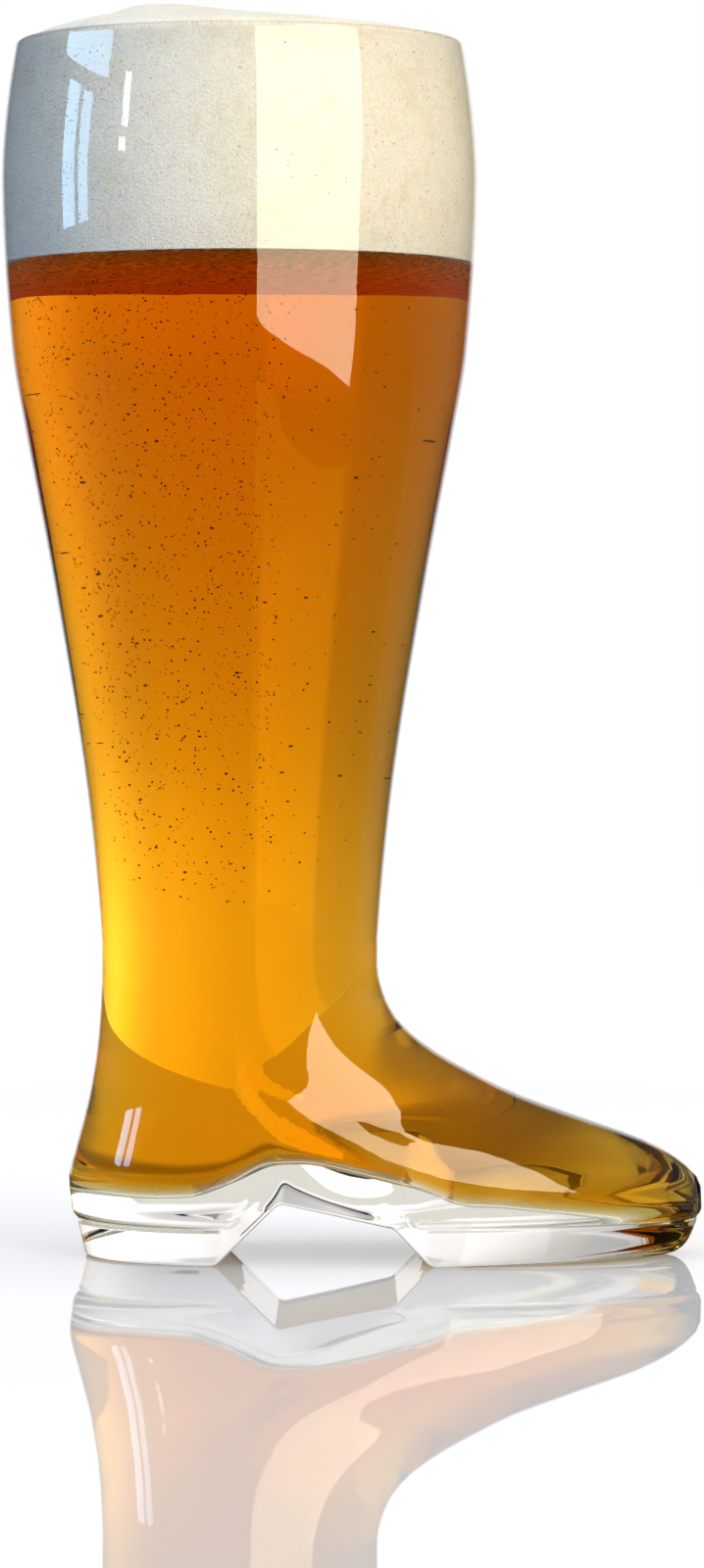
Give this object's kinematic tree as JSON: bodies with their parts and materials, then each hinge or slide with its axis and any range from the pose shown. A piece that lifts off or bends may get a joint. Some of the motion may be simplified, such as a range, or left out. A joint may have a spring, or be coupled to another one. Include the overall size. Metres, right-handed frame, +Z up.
{
  "type": "beer boot glass",
  "caption": "Boot-shaped beer glass in clear glass, with a thick arched sole, full of amber beer under a head of foam.",
  "frame": {"origin": "on the table, under the middle of the boot's length and width", "axes": "+X towards the toe, +Y to the side away from the viewer of the picture, +Z up and out of the rim"},
  "size_m": [0.1907, 0.1294, 0.3404],
  "materials": {
    "clear_glass": "polished",
    "amber_beer": "gloss",
    "cream_foam": "matte"
  },
  "bodies": {
    "root": {"leg_glass": "clear_glass", "foot_glass": "clear_glass", "beer": "amber_beer", "foam_head": "cream_foam"}
  },
  "joints": []
}
